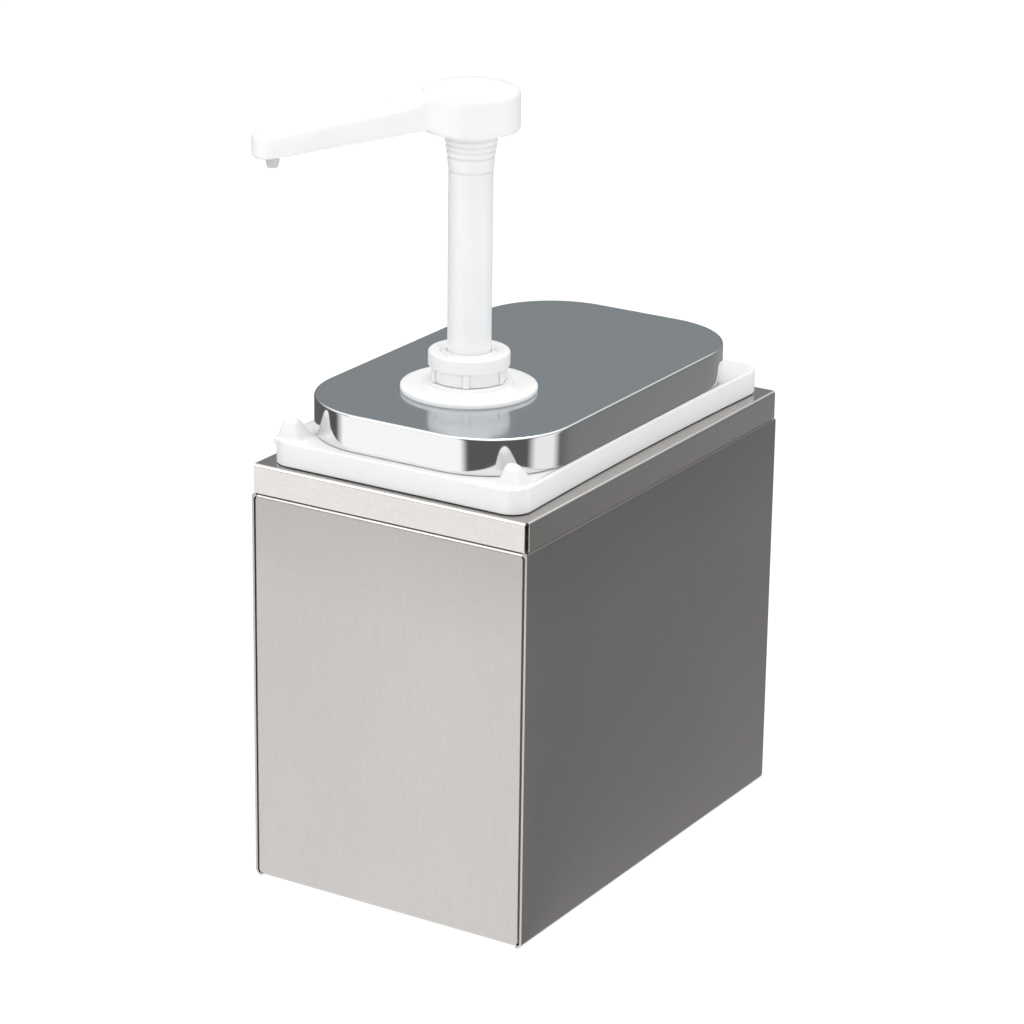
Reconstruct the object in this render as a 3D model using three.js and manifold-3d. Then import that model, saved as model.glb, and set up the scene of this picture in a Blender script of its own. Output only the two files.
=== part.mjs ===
// Condiment pump dispenser: a sheet-metal housing that a plastic jar hangs in, a drawn lid on the
// jar, and a hand pump clamped in the lid. Millimetres, +Z up, front is -Y. The origin is the middle
// of the underside of the housing.
import * as THREE from 'three';
import { mergeVertices } from 'three/addons/utils/BufferGeometryUtils.js';
import Module from 'manifold-3d';

const wasm = await Module();
wasm.setup();

// ---------------------------------------------------------------- driving dimensions
const GAP = 0.3;                  // air left between two pieces that touch
const SHEET = 1.0;                // housing sheet
const BOX = { x: 140, y: 220, z: 195 };

const SKIRT_DROP = 13;            // the top frame's folded-down edge
const FRAME_BEND = 1.5;           // outer radius where that edge folds
const CORNER_GAP = 1.3;           // each folded edge stops this far short of the corner
const PANEL_BEND = 2.0;           // front and rear panels, upright edges
const FLOOR_BEND = 3.0;           // every bottom edge
const PANEL_FLANGE = 12;          // flanges folded back inside the side sheets
const FLOOR_RETURN = 6;           // front and rear panels, short fold underneath
const RELIEF = 4;                 // the side flanges start this far above the underside
const END_STEP = 2.2;             // front and rear panels, step in behind the frame's folded edge

const LID = { x: 122.6, y: 204.5, radius: 40, top: 223.1, bottom: 206.8, sheet: 0.8, edge: 1.8 };
const LID_SLACK = 0.8;            // between the lid's skirt and the jar's neck
const JAR_WALL = 2.5;
const JAR = { bottom: 8, neckTop: 219.5, rimX: 127.6, rimY: 212.6, rimRadius: 9.5, rimBow: 1.8, rimEdge: 4 };
const FRAME_SLACK = 1.3;          // between the jar's body and the frame's opening
const EAR = { x: 56, base: 11.5, top: 5, front: -104, rear: -90.4, height: 9.5, flat: 3.5 };

const PUMP = { x: -2.1, y: -42 };
const ROUND = 28;                 // facets on the pump's round pieces
const SMALL_ROUND = 20;           // and on its slim or hidden ones
const FLANGE = { radius: 30, rim: 1.4, boss: 18.9, bossHeight: 2 };
const GASKET = { radius: 29.5, height: 0.4 };
const CYLINDER = { bore: 11.6, outer: 13.6, thread: 14.5, bottom: 98.3, threadBottom: 205, top: 236.7 };
const LID_HOLE = 15.2;
const CLAMP_NUT = { across: 38, height: 8 };
const COLLAR = { outer: 17.9, lower: 16.5, bottom: 228.3, step: 234.3, top: 241, plate: 2.2, mouth: 12.6 };
const RIB = { count: 6, width: 2.6, proud: 1.1, firstAngle: -62 };
const BUSH = { bottom: 218, top: 241.3, collar: 12.3, flange: 14.2 };
const PIN_HOLE = { radius: 0.9, circle: 10.9, depth: 1.2, angle: 32 };
const SHAFT = { outer: 9.6, bore: 7.5, bottom: 209.3, top: 320.7 };
const PISTON = { bottom: 200, top: 214, floor: 3, groove: 3, grooveBottom: 205.5 };
const BALL = 4;
const BALL_LIFT = 3.5;
const VALVE_BORE = 2.6;
const FOOT = { flangeBottom: 94, spigotBottom: 78, spigot: 4.2, top: 110 };
const CAGE = { height: 2, hole: 2.2, holeCircle: 6, holes: 4 };
const DIP_TUBE = { outer: 6, bore: 4.5, bottom: 16 };
const SPRING = { coil: 8.6, wire: 1.3, turns: 10 };
const NECK = { bottom: 321, top: 338.5, low: 9.5, high: 11.9, spigot: 7.2, plug: 8, plugTop: 346 };
const GROOVE = { depth: 0.7, heights: [327.4, 330.2, 332.7, 335.4] };
const HEAD = { radius: 21, bottom: 338.8, wallTop: 354.3, shoulder: 3, top: 360.3, edge: 1.5 };
const ARM = { angle: 45, width: 18, reach: 85.6, edge: 2.5 };
const ARM_SIDE = { rootTop: 355.8, tipTop: 342.2, rootBottom: 343.4, tipBottom: 329.8 };
const CHANNEL = 3.2;
const NOZZLE = { boss: 4, bossBottom: 329.9, outer: 3, mouth: 2.3, bottom: 326, bore: 1.3, spigot: 2.4 };

// ---------------------------------------------------------------- finishes
const finish = (color, roughness, metalness) =>
  new THREE.MeshStandardMaterial({ color, roughness, metalness });
const brushedSteel = () => finish(0xb4b0ac, 0.38, 1.0);
const polishedSteel = () => finish(0xc6cacd, 0.12, 1.0);
const whitePlastic = () => finish(0xf2f2f0, 0.38, 0.0);
const naturalPlastic = () => finish(0xd9dad6, 0.35, 0.0);
const whiteRubber = () => finish(0xe4e4e0, 0.6, 0.0);
const springSteel = () => finish(0xa8a9ab, 0.25, 1.0);
const ballSteel = () => finish(0xd0d2d4, 0.1, 1.0);

// ---------------------------------------------------------------- geometry helpers
// Joins a geometry's shared corners and turns its faces outwards, so that it is one closed body.
function closed(geometry) {
  const bare = geometry.index ? geometry.toNonIndexed() : geometry.clone();
  for (const name of Object.keys(bare.attributes)) {
    if (name !== 'position') bare.deleteAttribute(name);
  }
  const merged = mergeVertices(bare, 1e-4);
  const p = merged.getAttribute('position');
  const tris = [];
  let volume = 0;
  const [a, b, c] = [new THREE.Vector3(), new THREE.Vector3(), new THREE.Vector3()];
  for (let i = 0; i < merged.index.count; i += 3) {
    const [ia, ib, ic] = [0, 1, 2].map((k) => merged.index.getX(i + k));
    if (ia === ib || ib === ic || ia === ic) continue;
    a.fromBufferAttribute(p, ia);
    b.fromBufferAttribute(p, ib);
    c.fromBufferAttribute(p, ic);
    volume += a.dot(b.cross(c)) / 6;
    tris.push(ia, ib, ic);
  }
  merged.setIndex(volume < 0 ? tris.reverse() : tris);
  return merged;
}

function solid(geometry) {
  const g = closed(geometry);
  const vertProperties = new Float32Array(g.getAttribute('position').array);
  const triVerts = new Uint32Array(g.index.array);
  return new wasm.Manifold(new wasm.Mesh({ numProp: 3, vertProperties, triVerts }));
}

function geometryOf(body) {
  const m = body.getMesh();
  const g = new THREE.BufferGeometry();
  g.setAttribute('position', new THREE.BufferAttribute(new Float32Array(m.vertProperties), 3));
  g.setIndex(new THREE.BufferAttribute(new Uint32Array(m.triVerts), 1));
  return g;
}

// One named piece. A shape is a geometry, or a manifold body that booleans have made.
function piece(name, shape, material) {
  const g = shape.isBufferGeometry ? closed(shape) : geometryOf(shape);
  g.computeVertexNormals();
  const mesh = new THREE.Mesh(g, material);
  mesh.name = name;
  return mesh;
}

const joined = (bodies) => bodies.reduce((sum, body) => sum.add(body));

// A profile of [radius, height] points turned about Z. Rings repeat their first point at the end.
function turned(profile, segments = ROUND) {
  const points = profile.map(([r, z]) => new THREE.Vector2(r, z));
  return new THREE.LatheGeometry(points, segments).rotateX(Math.PI / 2);
}

const ring = (inner, outer, low, high, segments) =>
  turned([[inner, low], [outer, low], [outer, high], [inner, high], [inner, low]], segments);

const rod = (radius, low, high, segments = SMALL_ROUND) =>
  turned([[0, low], [radius, low], [radius, high], [0, high]], segments);

// Rounded rectangle, its two long sides bowed inwards by the given amount.
function roundedRect(sizeX, sizeY, radius, bow = 0) {
  const [x, y] = [sizeX / 2, sizeY / 2];
  const s = new THREE.Shape();
  s.moveTo(-x + radius, -y);
  s.lineTo(x - radius, -y);
  s.absarc(x - radius, -y + radius, radius, -Math.PI / 2, 0, false);
  if (bow) s.quadraticCurveTo(x - 2 * bow, 0, x, y - radius);
  else s.lineTo(x, y - radius);
  s.absarc(x - radius, y - radius, radius, 0, Math.PI / 2, false);
  s.lineTo(-x + radius, y);
  s.absarc(-x + radius, y - radius, radius, Math.PI / 2, Math.PI, false);
  if (bow) s.quadraticCurveTo(-x + 2 * bow, 0, -x, -y + radius);
  else s.lineTo(-x, -y + radius);
  s.absarc(-x + radius, -y + radius, radius, Math.PI, 1.5 * Math.PI, false);
  return s;
}

function prism(shape, low, high, curveSegments = 5) {
  const depth = high - low;
  return new THREE.ExtrudeGeometry(shape, { depth, bevelEnabled: false, curveSegments }).translate(0, 0, low);
}

// A prism whose upper edge is rounded. The round at the lower end is cut away again.
function softTopPrism(shape, low, high, edge, curveSegments = 5) {
  const raw = new THREE.ExtrudeGeometry(shape, {
    depth: high - low, bevelEnabled: true, bevelThickness: edge, bevelSize: edge, bevelOffset: -edge,
    bevelSegments: 2, curveSegments,
  }).translate(0, 0, low - edge);
  return solid(raw).trimByPlane([0, 0, 1], low);
}

const polygon = (points) => new THREE.Shape(points.map(([u, v]) => new THREE.Vector2(u, v)));

// An outline in X and Z, pulled along Y; and one in Y and Z, pulled along X.
const alongY = (shape, from, to) => prism(shape, 0, to - from).rotateX(Math.PI / 2).translate(0, to, 0);
const XY_Z_TO_YZ_X = new THREE.Matrix4().set(0, 0, 1, 0, 1, 0, 0, 0, 0, 1, 0, 0, 0, 0, 0, 1);
const alongX = (shape, from, to) => prism(shape, from, to).applyMatrix4(XY_Z_TO_YZ_X);

// Points on an arc, from one angle in degrees to another.
function arcPoints(cx, cz, radius, from, to, steps) {
  return Array.from({ length: steps + 1 }, (_, k) => {
    const turn = THREE.MathUtils.degToRad(from + ((to - from) * k) / steps);
    return [cx + radius * Math.cos(turn), cz + radius * Math.sin(turn)];
  });
}

// ---------------------------------------------------------------- housing
const SKIRT_BOTTOM = BOX.z - SKIRT_DROP;
const SHOULDER = SKIRT_BOTTOM - 0.4;           // where the walls step in behind the skirt
const SIDE_STEP = SHEET + GAP;
const WALL_TOP = BOX.z - FRAME_BEND - GAP;

// One wall of the housing edge on, at distance `face` from the middle: bottom bend, flat wall, the
// `step` in behind the skirt. `fold` is the flat underside's length, back from the bottom bend.
function wallProfile(face, step, fold) {
  const inner = face - SHEET;
  const r = FLOOR_BEND;
  const toe = face - r - fold;
  return polygon([
    ...(fold ? [[toe, 0]] : []),
    ...arcPoints(face - r, r, r, -90, 0, 4),
    ...arcPoints(face - step, SHOULDER - step, step, 0, 90, 3),
    [face - step, WALL_TOP],
    [inner - step, WALL_TOP],
    [inner - step, SHOULDER - SHEET],
    [inner, SHOULDER - step - SHEET],
    ...arcPoints(face - r, r, r - SHEET, 0, -90, 3),
    ...(fold ? [[toe, SHEET]] : []),
  ]);
}

function makeSideWrap() {
  const half = BOX.y / 2;
  const floorEdge = half - FLOOR_RETURN - GAP;
  const whole = solid(alongY(wallProfile(BOX.x / 2, SIDE_STEP, 0), -half + 0.2, half - 0.2));
  const notch = solid(new THREE.BoxGeometry(BOX.x, 2 * SIDE_STEP, 2 * SKIRT_DROP).translate(0, half, BOX.z));
  const wall = whole.subtract(notch).subtract(notch.mirror([0, 1, 0]));
  const across = BOX.x - 2 * FLOOR_BEND + 1;
  const floor = solid(new THREE.BoxGeometry(across, 2 * floorEdge, SHEET).translate(0, 0, SHEET / 2));
  return joined([wall, wall.mirror([1, 0, 0]), floor]);
}

// Front or rear panel: a tray with side flanges, made at the front.
function makeEndPanel() {
  const face = BOX.y / 2;
  const edge = BOX.x / 2 - SHEET - GAP;
  const flat = edge - PANEL_BEND;
  const plate = solid(alongX(wallProfile(face, END_STEP, FLOOR_RETURN - FLOOR_BEND), -flat, flat));
  const flange = polygon([
    [flat - 1, face],
    ...arcPoints(flat, face - PANEL_BEND, PANEL_BEND, 90, 0, 4),
    [edge, face - PANEL_FLANGE],
    [edge - SHEET, face - PANEL_FLANGE],
    ...arcPoints(flat, face - PANEL_BEND, PANEL_BEND - SHEET, 0, 90, 3),
    [flat - 1, face - SHEET],
  ]);
  const side = solid(prism(flange, RELIEF, SHOULDER - END_STEP - SHEET - GAP));
  return joined([plate, side, side.mirror([1, 0, 0])]).mirror([0, 1, 0]);
}

function makeTopFrame() {
  const [x, y] = [BOX.x / 2, BOX.y / 2];
  const jarX = LID.x - 2 * (LID.sheet + LID_SLACK);
  const jarY = LID.y - 2 * (LID.sheet + LID_SLACK);
  const radius = LID.radius - LID.sheet - LID_SLACK + FRAME_SLACK;
  const plate = roundedRect(2 * (x - FRAME_BEND), 2 * (y - FRAME_BEND), 0.5);
  plate.holes.push(roundedRect(jarX + 2 * FRAME_SLACK, jarY + 2 * FRAME_SLACK, radius));
  const skirt = (face) => polygon([
    [face - FRAME_BEND - 1, BOX.z],
    ...arcPoints(face - FRAME_BEND, BOX.z - FRAME_BEND, FRAME_BEND, 90, 0, 3),
    [face, SKIRT_BOTTOM],
    [face - SHEET, SKIRT_BOTTOM],
    [face - SHEET, BOX.z - FRAME_BEND],
    [face - FRAME_BEND - 1, BOX.z - SHEET],
  ]);
  const right = solid(alongY(skirt(x), -y + CORNER_GAP + 0.5, y - CORNER_GAP - 0.5));
  const rear = solid(alongX(skirt(y), -x + CORNER_GAP, x - CORNER_GAP));
  return joined([
    solid(prism(plate, BOX.z - SHEET, BOX.z)), right, right.mirror([1, 0, 0]), rear, rear.mirror([0, 1, 0]),
  ]);
}

// ---------------------------------------------------------------- jar and lid
const NECK_X = LID.x - 2 * (LID.sheet + LID_SLACK);
const NECK_Y = LID.y - 2 * (LID.sheet + LID_SLACK);
const NECK_R = LID.radius - LID.sheet - LID_SLACK;
const RIM_BOTTOM = BOX.z + GAP;
const RIM_TOP = LID.bottom - GAP;

function makeContainer() {
  const body = solid(prism(roundedRect(NECK_X, NECK_Y, NECK_R), JAR.bottom, JAR.neckTop));
  const rimOutline = roundedRect(JAR.rimX, JAR.rimY, JAR.rimRadius, JAR.rimBow);
  const rim = softTopPrism(rimOutline, RIM_BOTTOM, RIM_TOP, JAR.rimEdge);
  const channel = solid(prism(
    roundedRect(JAR.rimX - 2 * JAR_WALL - 0.4, JAR.rimY - 2 * JAR_WALL, JAR.rimRadius, JAR.rimBow),
    RIM_BOTTOM - 1, RIM_TOP - JAR_WALL,
  )).subtract(solid(prism(roundedRect(NECK_X, NECK_Y, NECK_R), RIM_BOTTOM - 2, RIM_TOP)));
  const inside = solid(prism(
    roundedRect(NECK_X - 2 * JAR_WALL, NECK_Y - 2 * JAR_WALL, NECK_R - JAR_WALL),
    JAR.bottom + JAR_WALL, JAR.neckTop + 1,
  ));
  const ear = makeEar();
  return joined([body, rim.subtract(channel), ear, ear.mirror([1, 0, 0])]).subtract(inside);
}

// A fin on the rim's front corner: steep in front, sloping down to the rear, drafted on its sides.
function makeEar() {
  const low = RIM_TOP - 2;
  const high = RIM_TOP + EAR.height;
  const lean = 2.6;
  const side = alongX(polygon([
    [EAR.front, low], [EAR.front + lean, high - 1], [EAR.front + lean + 0.8, high],
    [EAR.front + lean + EAR.flat, high], [EAR.rear, RIM_TOP], [EAR.rear, low],
  ]), 0, BOX.x / 2);
  const across = alongY(polygon([
    [EAR.x - EAR.base / 2, low], [EAR.x + EAR.base / 2, low],
    [EAR.x + EAR.top / 2, high + 1], [EAR.x - EAR.top / 2, high + 1],
  ]), EAR.front - 1, EAR.rear + 1);
  return solid(side).intersect(solid(across));
}

function makeLid() {
  const inset = 2 * LID.sheet;
  const outer = softTopPrism(roundedRect(LID.x, LID.y, LID.radius), LID.bottom, LID.top, LID.edge);
  const inner = softTopPrism(
    roundedRect(LID.x - inset, LID.y - inset, LID.radius - LID.sheet),
    LID.bottom - 1, LID.top - LID.sheet, LID.edge - LID.sheet,
  );
  const hole = solid(rod(LID_HOLE, LID.top - 3, LID.top + 1, ROUND).translate(PUMP.x, PUMP.y, 0));
  return outer.subtract(inner).subtract(hole);
}

// ---------------------------------------------------------------- pump, clamped in the lid
const GASKET_BOTTOM = LID.top + GAP;
const FLANGE_BOTTOM = GASKET_BOTTOM + GASKET.height + GAP;
const BOSS_TOP = COLLAR.bottom - GAP;

const makePumpBody = () => turned([
  [CYLINDER.bore, CYLINDER.bottom], [CYLINDER.outer, CYLINDER.bottom],
  [CYLINDER.outer, CYLINDER.threadBottom], [CYLINDER.thread, CYLINDER.threadBottom],
  [CYLINDER.thread, FLANGE_BOTTOM], [FLANGE.radius - 0.5, FLANGE_BOTTOM],
  [FLANGE.radius, FLANGE_BOTTOM + 0.5], [FLANGE.radius, FLANGE_BOTTOM + FLANGE.rim],
  [FLANGE.radius - 0.8, FLANGE_BOTTOM + FLANGE.rim + 0.4], [FLANGE.boss, BOSS_TOP - FLANGE.bossHeight + 0.3],
  [FLANGE.boss, BOSS_TOP], [CYLINDER.thread, BOSS_TOP],
  [CYLINDER.thread, CYLINDER.top], [CYLINDER.bore, CYLINDER.top], [CYLINDER.bore, CYLINDER.bottom],
]);

const makeFlangeGasket = () => ring(LID_HOLE, GASKET.radius, GASKET_BOTTOM, GASKET_BOTTOM + GASKET.height);

function makeClampNut() {
  const high = LID.top - LID.sheet - GAP;
  const corner = CLAMP_NUT.across / Math.sqrt(3);
  const hex = solid(rod(corner, high - CLAMP_NUT.height, high, 6));
  return hex.subtract(solid(rod(CYLINDER.thread + GAP, high - CLAMP_NUT.height - 1, high + 1, ROUND)));
}

function makeCollarNut() {
  const cap = solid(turned([
    [CYLINDER.thread + GAP, COLLAR.bottom], [COLLAR.lower, COLLAR.bottom],
    [COLLAR.lower, COLLAR.step], [COLLAR.outer, COLLAR.step],
    [COLLAR.outer, COLLAR.top - 0.8], [COLLAR.outer - 0.8, COLLAR.top],
    [COLLAR.mouth, COLLAR.top], [COLLAR.mouth, COLLAR.top - COLLAR.plate],
    [CYLINDER.thread + GAP, COLLAR.top - COLLAR.plate], [CYLINDER.thread + GAP, COLLAR.bottom],
  ]));
  const depth = 2.2;
  const height = COLLAR.step - COLLAR.bottom + 1;
  const ribs = Array.from({ length: RIB.count }, (_, k) => {
    const g = new THREE.BoxGeometry(depth, RIB.width, height);
    g.translate(COLLAR.lower + RIB.proud - depth / 2, 0, COLLAR.bottom + height / 2);
    return solid(g.rotateZ(THREE.MathUtils.degToRad(RIB.firstAngle + (360 * k) / RIB.count)));
  });
  return joined([cap, ...ribs]);
}

function makeShaftBush() {
  const bore = SHAFT.outer + GAP;
  const sleeve = CYLINDER.bore - GAP;
  const plateLow = COLLAR.top - COLLAR.plate - GAP;
  const flangeLow = CYLINDER.top + GAP;
  const bush = solid(turned([
    [bore, BUSH.bottom], [sleeve, BUSH.bottom], [sleeve, flangeLow], [BUSH.flange, flangeLow],
    [BUSH.flange, plateLow], [BUSH.collar, plateLow], [BUSH.collar, BUSH.top],
    [bore, BUSH.top], [bore, BUSH.bottom],
  ]));
  const pins = [0, 180].map((angle) => {
    const g = rod(PIN_HOLE.radius, BUSH.top - PIN_HOLE.depth, BUSH.top + 1, 12);
    g.translate(PIN_HOLE.circle, 0, 0);
    return solid(g.rotateZ(THREE.MathUtils.degToRad(PIN_HOLE.angle + angle)));
  });
  return bush.subtract(joined(pins));
}

// A ball rests on a 45 degree cone that opens at height `z` from the valve bore: its centre is here.
const ballCentre = (z) => z - VALVE_BORE + Math.SQRT2 * (BALL + GAP);
const CHAMBER = BALL + 0.7;
const FOOT_SEAT = 99;
const PISTON_SEAT = PISTON.bottom + PISTON.floor;

const makeFootValve = () => turned([
  [VALVE_BORE, FOOT.spigotBottom], [FOOT.spigot, FOOT.spigotBottom], [FOOT.spigot, FOOT.flangeBottom],
  [CYLINDER.outer, FOOT.flangeBottom], [CYLINDER.outer, CYLINDER.bottom - GAP],
  [CYLINDER.bore - GAP, CYLINDER.bottom - GAP], [CYLINDER.bore - GAP, FOOT.top],
  [CHAMBER, FOOT.top], [CHAMBER, FOOT_SEAT + CHAMBER - VALVE_BORE],
  [VALVE_BORE, FOOT_SEAT], [VALVE_BORE, FOOT.spigotBottom],
], SMALL_ROUND);

// A flat disc with a circle of flow holes.
function drilledDisc(radius, low, height, holes, holeRadius, holeCircle) {
  const disc = new THREE.Shape().absarc(0, 0, radius, 0, 2 * Math.PI, false);
  for (let k = 0; k < holes; k += 1) {
    const a = (2 * Math.PI * k) / holes;
    const [x, y] = [holeCircle * Math.cos(a), holeCircle * Math.sin(a)];
    disc.holes.push(new THREE.Path().absarc(x, y, holeRadius, 0, 2 * Math.PI, true));
  }
  return prism(disc, low, low + height, 7);
}

const CAGE_BOTTOM = FOOT.top + GAP;
const makeBallCage = () =>
  drilledDisc(CYLINDER.bore - GAP - 0.1, CAGE_BOTTOM, CAGE.height, CAGE.holes, CAGE.hole, CAGE.holeCircle);

const makeDipTube = () =>
  ring(DIP_TUBE.bore, DIP_TUBE.outer, DIP_TUBE.bottom, FOOT.flangeBottom - GAP, SMALL_ROUND);

const makeBall = (z) => new THREE.SphereGeometry(BALL, 14, 8).rotateX(Math.PI / 2).translate(0, 0, z);

// ---------------------------------------------------------------- plunger
const makePiston = () => {
  const skin = CYLINDER.bore - GAP;
  const socket = SHAFT.outer + GAP;
  return turned([
    [VALVE_BORE, PISTON.bottom], [skin, PISTON.bottom], [skin, PISTON.grooveBottom],
    [skin - 1.7, PISTON.grooveBottom], [skin - 1.7, PISTON.grooveBottom + PISTON.groove],
    [skin, PISTON.grooveBottom + PISTON.groove], [skin, PISTON.top], [socket, PISTON.top],
    [socket, SHAFT.bottom - GAP], [CHAMBER + 0.5, SHAFT.bottom - GAP],
    [CHAMBER + 0.5, PISTON_SEAT + CHAMBER + 0.5 - VALVE_BORE], [VALVE_BORE, PISTON_SEAT],
    [VALVE_BORE, PISTON.bottom],
  ], SMALL_ROUND);
};

const makePistonSeal = () => ring(
  CYLINDER.bore - 2 + GAP, CYLINDER.bore - 0.15,
  PISTON.grooveBottom + GAP, PISTON.grooveBottom + PISTON.groove - GAP, SMALL_ROUND,
);

function makeReturnSpring() {
  const low = CAGE_BOTTOM + CAGE.height + GAP + SPRING.wire / 2;
  const high = PISTON.bottom - GAP - SPRING.wire / 2;
  class Helix extends THREE.Curve {
    getPoint(t, target = new THREE.Vector3()) {
      const a = 2 * Math.PI * SPRING.turns * t;
      return target.set(SPRING.coil * Math.cos(a), SPRING.coil * Math.sin(a), low + (high - low) * t);
    }
  }
  const wire = new THREE.Shape().absarc(0, 0, SPRING.wire / 2, 0, 2 * Math.PI, false);
  const sweep = { steps: 12 * SPRING.turns, extrudePath: new Helix(), curveSegments: 3, bevelEnabled: false };
  return new THREE.ExtrudeGeometry(wire, sweep);
}

const makeShaft = () => ring(SHAFT.bore, SHAFT.outer, SHAFT.bottom, SHAFT.top);

const CAP_BOTTOM = ballCentre(PISTON_SEAT) + BALL + BALL_LIFT + GAP;
const makeUpperValveCap = () => drilledDisc(SHAFT.bore - GAP, CAP_BOTTOM, 2, 3, 1.8, 4.2);

// The tapered, ring-grooved piece between the shaft and the head.
function makeNeckCollar() {
  const radiusAt = (z) => NECK.low + ((NECK.high - NECK.low) * (z - NECK.bottom)) / (NECK.top - NECK.bottom);
  const grooves = GROOVE.heights.flatMap((z) => [
    [radiusAt(z - 0.5), z - 0.5], [radiusAt(z) - GROOVE.depth, z], [radiusAt(z + 0.5), z + 0.5],
  ]);
  const bore = 4.5;
  return turned([
    [bore, NECK.bottom - 12], [NECK.spigot, NECK.bottom - 12], [NECK.spigot, NECK.bottom],
    [NECK.low, NECK.bottom], ...grooves, [NECK.high, NECK.top], [NECK.plug, NECK.top],
    [NECK.plug, NECK.plugTop], [bore, NECK.plugTop], [bore, NECK.bottom - 12],
  ]);
}

// Everything on the arm is made along +X from the pump's axis, then turned to the arm's direction.
function makeHead() {
  const flat = HEAD.radius - HEAD.shoulder;
  const rise = HEAD.top - HEAD.wallTop - HEAD.shoulder;
  const dome = [0.72, 0.4, 0].map((part) => [part * flat, HEAD.top - rise * part ** 2]);
  const cap = solid(turned([
    [0, HEAD.bottom], [HEAD.radius - HEAD.edge, HEAD.bottom], [HEAD.radius, HEAD.bottom + HEAD.edge],
    ...arcPoints(flat, HEAD.wallTop, HEAD.shoulder, 0, 90, 3), ...dome,
  ]));
  const tip = ARM.reach + ARM.width / 2;
  const profile = polygon([
    [0, ARM_SIDE.rootBottom], [tip, ARM_SIDE.tipBottom], [tip, ARM_SIDE.tipTop], [0, ARM_SIDE.rootTop],
  ]);
  const bar = solid(new THREE.ExtrudeGeometry(profile, {
    depth: ARM.width - 2 * ARM.edge, bevelEnabled: true, bevelThickness: ARM.edge, bevelSize: ARM.edge,
    bevelOffset: -ARM.edge, bevelSegments: 2,
  }).translate(0, 0, ARM.edge - ARM.width / 2).rotateX(Math.PI / 2));
  const plan = new THREE.Shape();
  plan.moveTo(0, -ARM.width / 2);
  plan.lineTo(ARM.reach, -ARM.width / 2);
  plan.absarc(ARM.reach, 0, ARM.width / 2, -Math.PI / 2, Math.PI / 2, false);
  plan.lineTo(0, ARM.width / 2);
  const arm = bar.intersect(solid(prism(plan, ARM_SIDE.tipBottom - 10, HEAD.top, 10)));
  const boss = solid(rod(NOZZLE.boss, NOZZLE.bossBottom, ARM_SIDE.tipTop - 4).translate(ARM.reach, 0, 0));
  const socket = solid(rod(NECK.plug + GAP, HEAD.bottom - 1, NECK.plugTop + GAP));
  const drop = NECK.plugTop - 336.5;
  const run = solid(rod(CHANNEL, 0, Math.hypot(ARM.reach, drop), 14)
    .rotateY(Math.PI / 2 + Math.atan2(drop, ARM.reach)).translate(0, 0, NECK.plugTop));
  const drip = solid(rod(NOZZLE.spigot + GAP, NOZZLE.bossBottom - 1, 337.5, 14).translate(ARM.reach, 0, 0));
  return joined([cap, arm, boss]).subtract(joined([socket, run, drip]));
}

const makeNozzleTip = () => turned([
  [NOZZLE.bore, NOZZLE.bottom], [NOZZLE.mouth, NOZZLE.bottom], [NOZZLE.outer, NOZZLE.bossBottom - 1.2],
  [NOZZLE.outer, NOZZLE.bossBottom - GAP], [NOZZLE.spigot, NOZZLE.bossBottom - GAP],
  [NOZZLE.spigot, NOZZLE.bossBottom + 4], [NOZZLE.bore, NOZZLE.bossBottom + 4], [NOZZLE.bore, NOZZLE.bottom],
], 16).translate(ARM.reach, 0, 0);

// ---------------------------------------------------------------- assembly
const dispenser = new THREE.Group();
dispenser.name = 'condiment_pump_dispenser';

const frontPanel = makeEndPanel();
dispenser.add(
  piece('side_wrap', makeSideWrap(), brushedSteel()),
  piece('front_panel', frontPanel, brushedSteel()),
  piece('rear_panel', frontPanel.mirror([0, 1, 0]), brushedSteel()),
  piece('top_frame', makeTopFrame(), brushedSteel()),
  piece('container', makeContainer(), whitePlastic()),
  piece('lid', makeLid(), polishedSteel()),
);

const pump = new THREE.Group();
pump.position.set(PUMP.x, PUMP.y, 0);
pump.add(
  piece('pump_body', makePumpBody(), whitePlastic()),
  piece('flange_gasket', makeFlangeGasket(), whiteRubber()),
  piece('clamp_nut', makeClampNut(), whitePlastic()),
  piece('collar_nut', makeCollarNut(), whitePlastic()),
  piece('shaft_bush', makeShaftBush(), whitePlastic()),
  piece('foot_valve_body', makeFootValve(), whitePlastic()),
  piece('lower_check_ball', makeBall(ballCentre(FOOT_SEAT)), ballSteel()),
  piece('ball_cage', makeBallCage(), whitePlastic()),
  piece('dip_tube', makeDipTube(), naturalPlastic()),
  piece('piston', makePiston(), whitePlastic()),
  piece('piston_seal', makePistonSeal(), whiteRubber()),
  piece('return_spring', makeReturnSpring(), springSteel()),
  piece('upper_check_ball', makeBall(ballCentre(PISTON_SEAT)), ballSteel()),
  piece('upper_valve_cap', makeUpperValveCap(), whitePlastic()),
  piece('shaft', makeShaft(), whitePlastic()),
  piece('neck_collar', makeNeckCollar(), whitePlastic()),
);

// Turns +X to the arm's direction: from straight forwards (-Y) round towards -X.
const arm = new THREE.Group();
arm.rotation.z = THREE.MathUtils.degToRad(-90 - ARM.angle);
arm.add(
  piece('head', makeHead(), whitePlastic()),
  piece('nozzle_tip', makeNozzleTip(), naturalPlastic()),
);
pump.add(arm);
dispenser.add(pump);

export default dispenser;
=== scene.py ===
import math

import bmesh
import bpy
import numpy as np
from mathutils import Matrix, Vector


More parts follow.
